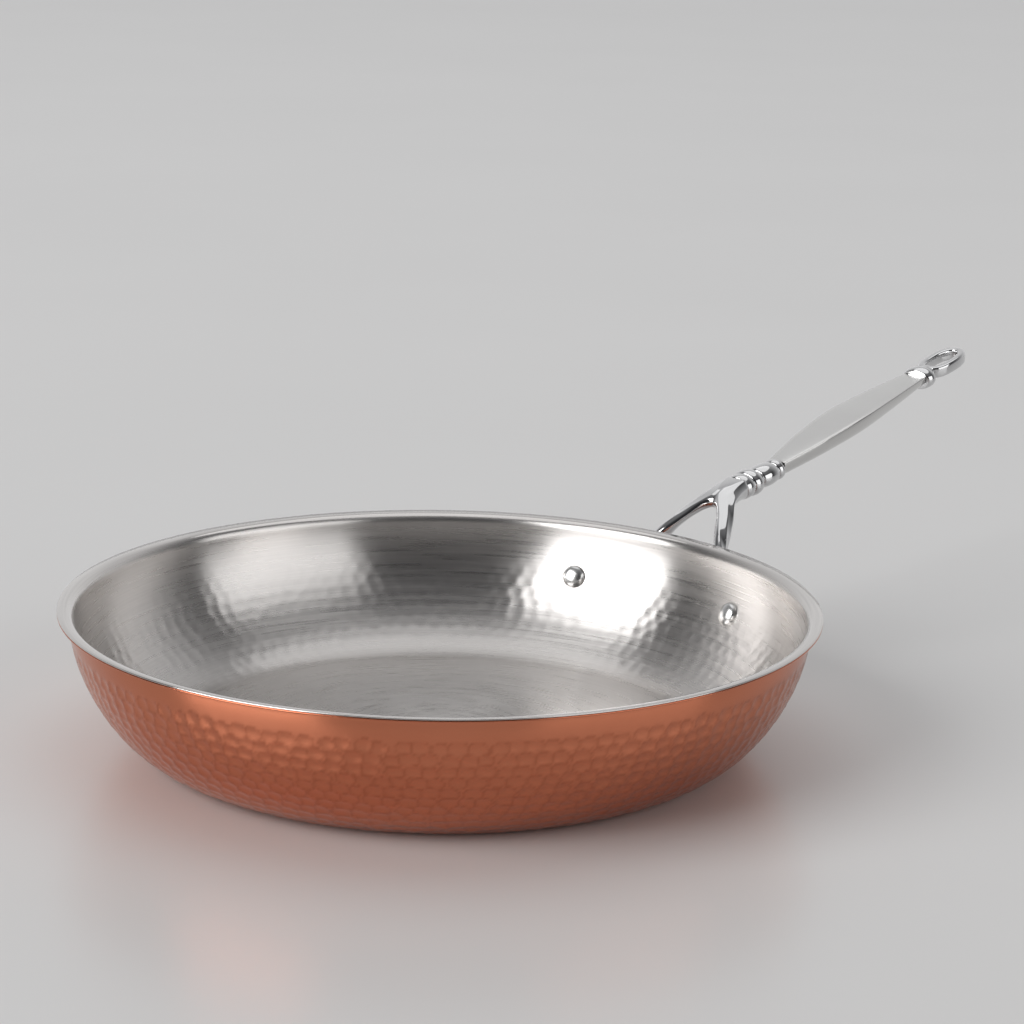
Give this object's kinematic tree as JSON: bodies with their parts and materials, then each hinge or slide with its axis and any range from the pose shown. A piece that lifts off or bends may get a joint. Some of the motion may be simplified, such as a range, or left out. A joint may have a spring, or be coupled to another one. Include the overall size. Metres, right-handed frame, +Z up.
{
  "type": "copper frying pan",
  "caption": "Round hammered copper frying pan with a steel-lined bowl, out-turned lip and a long riveted wishbone handle ending in a hanging loop.",
  "frame": {"origin": "centre of the flat underside of the pan, on the axis of its round body", "axes": "+X along the handle, +Y to the left of the handle, +Z up out of the pan"},
  "size_m": [0.5159, 0.3, 0.1112],
  "materials": {
    "hammered_copper": "hand-hammered copper, satin between the marks",
    "aluminium": "plain rolled, bonded out of sight",
    "brushed_steel": "fine circular brushing",
    "polished_steel": "mirror-polished stainless steel",
    "satin_steel": "stainless steel, polished to a soft satin"
  },
  "bodies": {
    "root": {"copper_shell": "hammered_copper", "aluminium_core": "aluminium", "steel_lining": "brushed_steel", "handle_yoke": "polished_steel", "rivet_left": "polished_steel", "rivet_right": "polished_steel", "front_ferrule": "polished_steel", "grip": "satin_steel", "rear_ferrule": "polished_steel", "hanging_loop": "polished_steel", "tie_rod": "satin_steel"}
  },
  "joints": []
}
